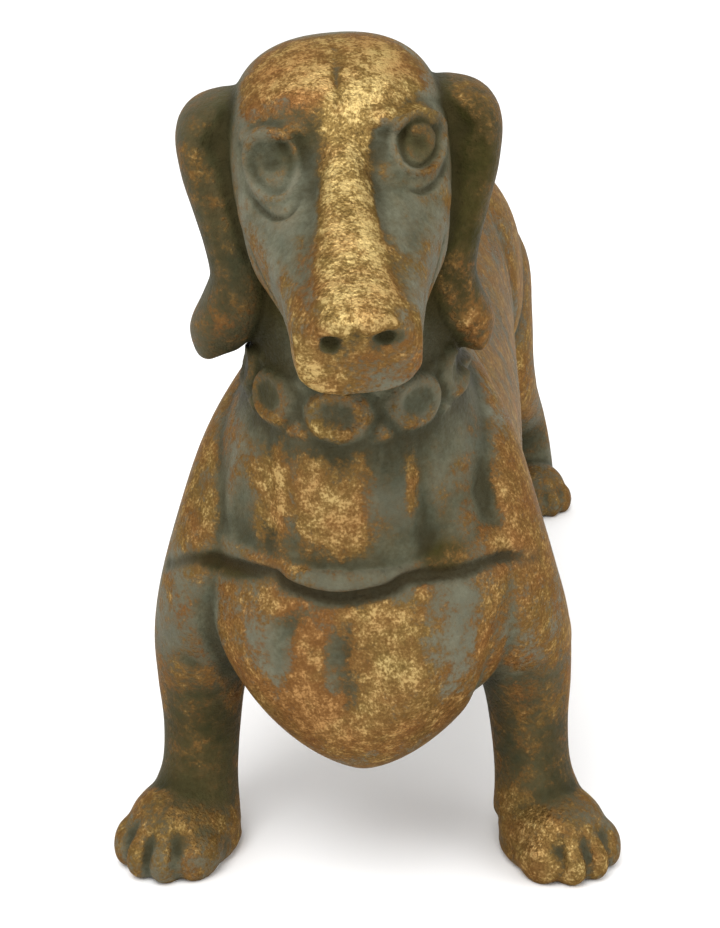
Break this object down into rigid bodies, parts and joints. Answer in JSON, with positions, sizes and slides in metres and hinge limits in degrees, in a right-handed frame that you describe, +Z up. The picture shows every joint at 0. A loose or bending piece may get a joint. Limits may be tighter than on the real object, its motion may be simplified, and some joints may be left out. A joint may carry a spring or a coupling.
{
  "type": "dachshund figure",
  "caption": "Standing dachshund figure cast in one piece, with hanging ears, a medallion collar and a low tapering tail.",
  "frame": {"origin": "on the ground under the middle of the figure's bounding box", "axes": "+Z up, the dog faces -Y and its left side is +X"},
  "size_m": [0.0932, 0.2994, 0.1501],
  "materials": {
    "gilded_bronze": "worn gold-copper gilding over a matt grey-green patina"
  },
  "bodies": {
    "root": {"dachshund": "gilded_bronze"}
  },
  "joints": []
}
